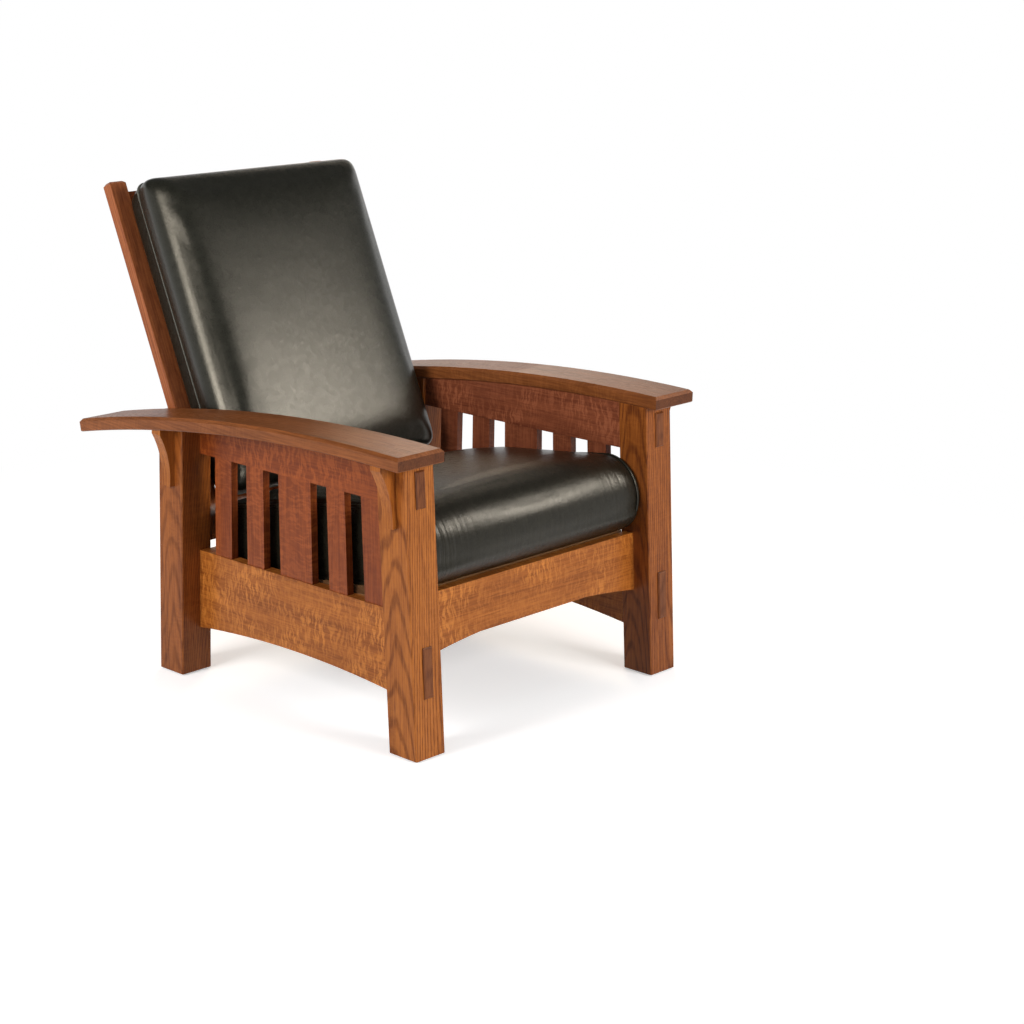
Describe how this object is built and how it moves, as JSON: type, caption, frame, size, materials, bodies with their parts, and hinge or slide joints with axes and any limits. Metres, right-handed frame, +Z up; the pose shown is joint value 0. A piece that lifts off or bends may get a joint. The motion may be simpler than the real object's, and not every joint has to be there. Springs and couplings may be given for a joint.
{
  "type": "reclining armchair",
  "caption": "Oak armchair in the mission style with bowed arms, slatted sides, corbels and loose leather cushions; its slatted back reclines on pins against a rod in arm notches",
  "frame": {"origin": "Middle of the footprint's bounding box, on the floor", "axes": "+Z is up, the chair looks along -Y, and +X is the sitter's left"},
  "size_m": [0.84, 1.0222, 1.0094],
  "materials": {
    "oak": "satin",
    "dark_oak": "satin",
    "plain_wood": "matte",
    "leather": "satin",
    "steel": "satin",
    "nylon": "matte"
  },
  "bodies": {
    "frame": {"front_leg_left": "oak", "front_leg_right": "oak", "rear_leg_left": "oak", "rear_leg_right": "oak", "arm_left": "oak", "arm_right": "oak", "lower_side_rail_left": "oak", "lower_side_rail_right": "oak", "upper_side_rail_left": "oak", "upper_side_rail_right": "oak", "side_slat_1_left": "oak", "side_slat_1_right": "oak", "side_slat_2_left": "oak", "side_slat_2_right": "oak", "side_slat_3_left": "oak", "side_slat_3_right": "oak", "side_slat_4_left": "oak", "side_slat_4_right": "oak", "side_slat_5_left": "oak", "side_slat_5_right": "oak", "front_rail": "oak", "rear_rail": "oak", "tenon_cap_upper_left": "dark_oak", "tenon_cap_upper_right": "dark_oak", "tenon_cap_lower_left": "dark_oak", "tenon_cap_lower_right": "dark_oak", "corbel_front_left": "oak", "corbel_front_right": "oak", "corbel_rear_left": "oak", "corbel_rear_right": "oak", "side_cleat_left": "plain_wood", "side_cleat_right": "plain_wood", "seat_slat_1": "plain_wood", "seat_slat_2": "plain_wood", "seat_slat_3": "plain_wood", "seat_slat_4": "plain_wood", "seat_slat_5": "plain_wood", "seat_slat_6": "plain_wood", "seat_slat_7": "plain_wood", "seat_slat_screws": "steel", "cleat_screws": "steel", "arm_dowels": "plain_wood", "foot_glides": "nylon", "pivot_pins": "steel", "pivot_washers": "nylon", "seat_cushion": "leather"},
    "back": {"back_stile_left": "oak", "back_stile_right": "oak", "crest_rail": "oak", "back_bottom_rail": "oak", "back_slat_1": "oak", "back_slat_2": "oak", "back_slat_3": "oak", "back_slat_4": "oak", "back_slat_5": "oak", "stile_bushings": "nylon", "back_cushion": "leather"},
    "rod": {"adjusting_rod": "oak"}
  },
  "joints": [
    {"name": "back_recline", "type": "hinge", "parent": "frame", "child": "back", "pos_m": [0, 0.19979, 0.3], "axis": [-1, 0, 0], "range_deg": [0, 18]},
    {"name": "rod_slide", "type": "slide", "parent": "frame", "child": "rod", "axis": [0, 0.9834, -0.1817], "range_m": [0, 0.0954]}
  ],
  "couplings": [
    {"joint": "rod_slide", "follows": "back_recline", "m_per_rad": 0.30368}
  ]
}
